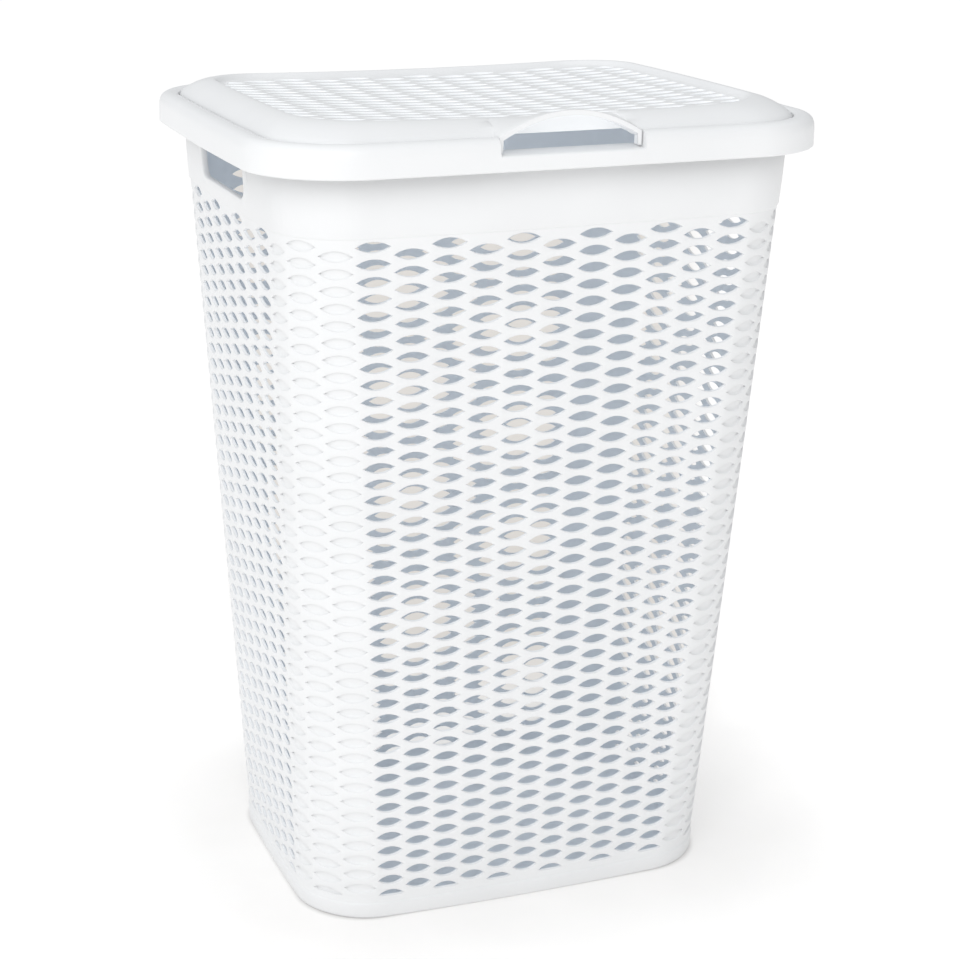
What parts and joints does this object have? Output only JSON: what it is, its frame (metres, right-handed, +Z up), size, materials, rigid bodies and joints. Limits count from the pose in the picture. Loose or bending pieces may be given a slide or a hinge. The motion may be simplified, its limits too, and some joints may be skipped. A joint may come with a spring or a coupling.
{
  "type": "laundry hamper with hinged lid",
  "caption": "Tall tapered white plastic laundry hamper with slotted walls, an overhanging rim collar, side hand holes and an inset hinged lid with a finger hood.",
  "frame": {"origin": "under the middle of the rim, on the floor; the base's own middle lies 4.5 mm behind it", "axes": "+Z up, -Y the front with the finger notch and hood, X along the hamper's long side"},
  "size_m": [0.4058, 0.356, 0.587],
  "materials": {
    "basket_plastic": "white injection-moulded polypropylene, satin",
    "collar_plastic": "white injection-moulded polypropylene, smooth satin",
    "lid_plastic": "white injection-moulded polypropylene, smooth satin",
    "pin_plastic": "white acetal, satin"
  },
  "bodies": {
    "basket": {"basket_body": "basket_plastic", "rim_collar": "collar_plastic", "hinge_pin_left": "pin_plastic", "hinge_pin_right": "pin_plastic"},
    "lid": {"lid": "lid_plastic"}
  },
  "joints": [
    {"name": "lid_hinge", "type": "hinge", "parent": "basket", "child": "lid", "pos_m": [0, 0.16886, 0.5668], "axis": [-1, 0, 0], "range_deg": [0, 100]}
  ]
}
